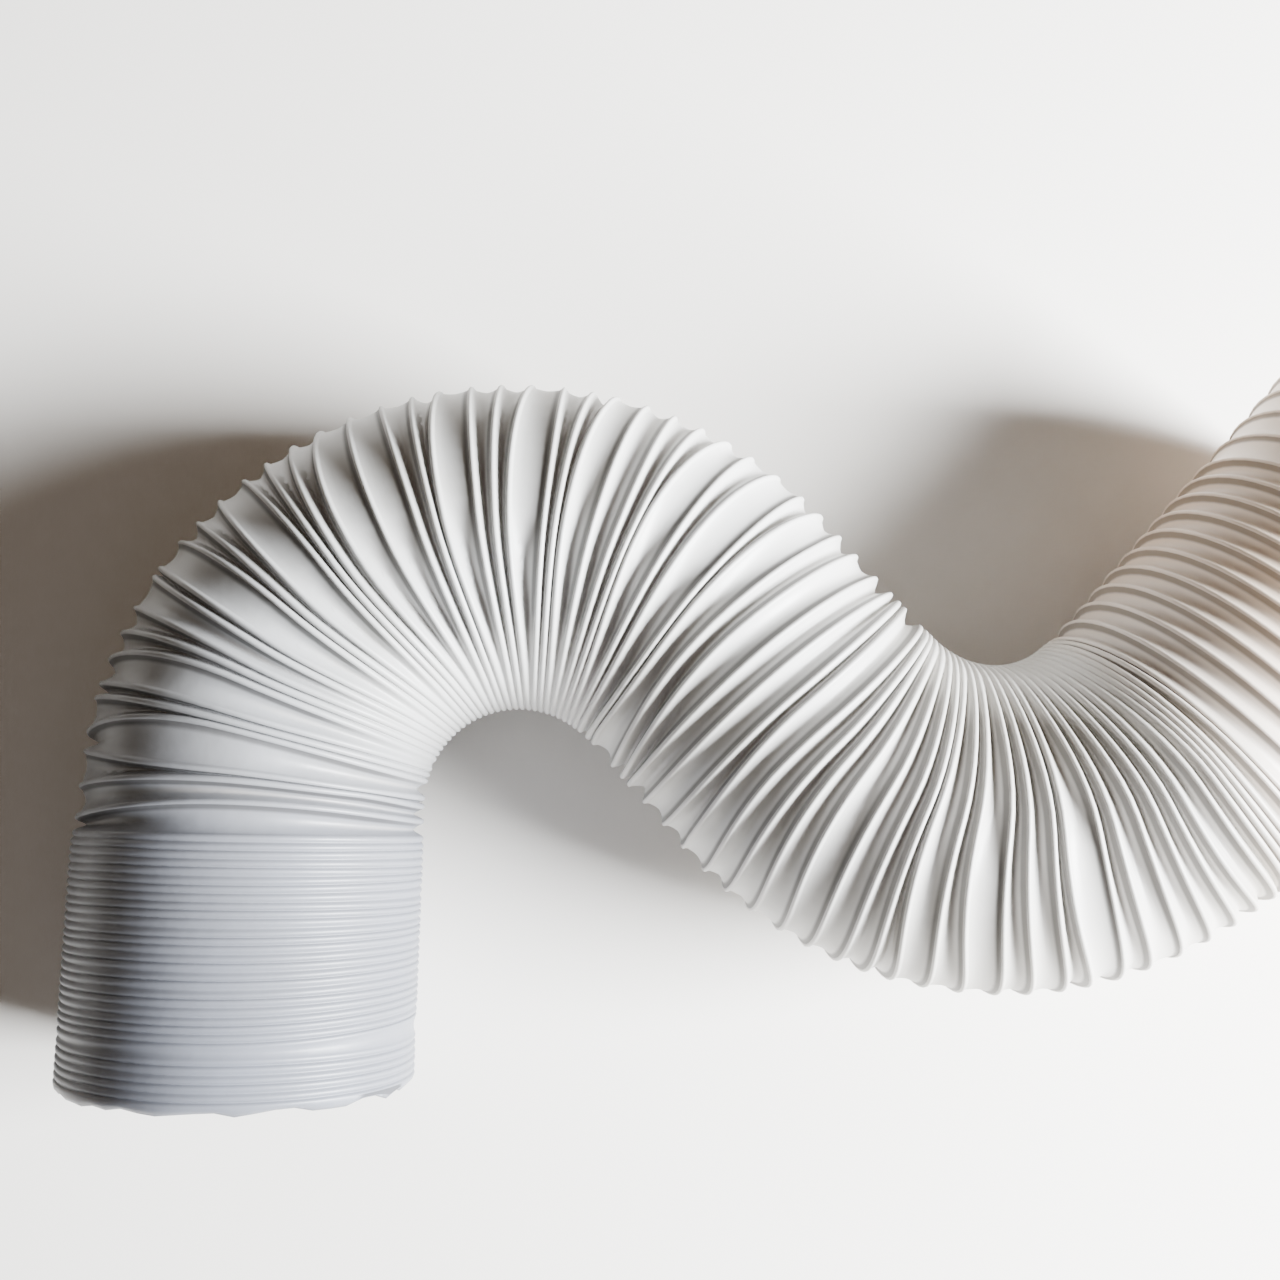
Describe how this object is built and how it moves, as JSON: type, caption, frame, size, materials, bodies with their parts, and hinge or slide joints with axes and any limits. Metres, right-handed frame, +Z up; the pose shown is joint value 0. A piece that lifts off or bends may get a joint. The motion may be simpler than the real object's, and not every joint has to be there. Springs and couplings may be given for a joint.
{
  "type": "air conditioner exhaust hose",
  "caption": "Pleated white plastic exhaust hose of a portable air conditioner, pushed shut at one end and lying in an S on the floor.",
  "frame": {"origin": "middle of the hose's outline on the floor that it lies on", "axes": "+X along the longest side of the outline, from the folded end's side to the opened end; +Y the way the hose leaves its folded end; +Z up from the floor"},
  "size_m": [0.687, 0.3438, 0.1536],
  "materials": {
    "white_plastic": "thin white polypropylene sheet with a satin sheen, slightly translucent, soft grey dirt in the folds"
  },
  "bodies": {
    "root": {"hose": "white_plastic"}
  },
  "joints": []
}
